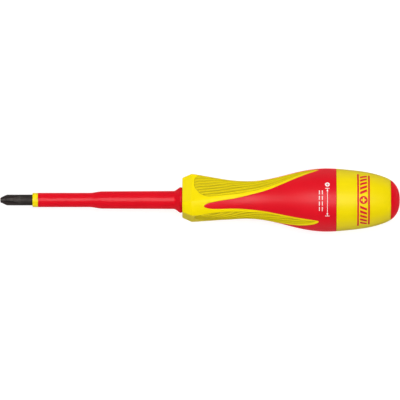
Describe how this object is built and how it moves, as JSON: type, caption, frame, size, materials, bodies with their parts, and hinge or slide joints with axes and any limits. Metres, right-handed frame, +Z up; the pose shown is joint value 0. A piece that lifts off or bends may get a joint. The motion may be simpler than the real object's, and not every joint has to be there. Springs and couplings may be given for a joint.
{
  "type": "insulated screwdriver",
  "caption": "Insulated cross-point screwdriver with a stepped red sleeve on its blade and a waisted red and yellow handle with a ribbed soft grip.",
  "frame": {"origin": "the point of the blade, on the tool's axis", "axes": "+X along the tool's axis from the point of the blade to the end cap; +Z up with the tool lying on a bench, as a person looking down at it sees it; +Y to that person's far side"},
  "size_m": [0.2196, 0.0348, 0.0348],
  "materials": {
    "blade_steel": "satin",
    "insulation_yellow": "satin",
    "insulation_red": "gloss",
    "core_yellow": "gloss",
    "shell_red": "gloss",
    "grip_yellow": "satin",
    "cap_red": "gloss"
  },
  "bodies": {
    "root": {"blade": "blade_steel", "inner_insulation": "insulation_yellow", "outer_insulation": "insulation_red", "handle_core": "core_yellow", "handle_shell": "shell_red", "soft_grip": "grip_yellow", "end_cap": "cap_red"}
  },
  "joints": []
}
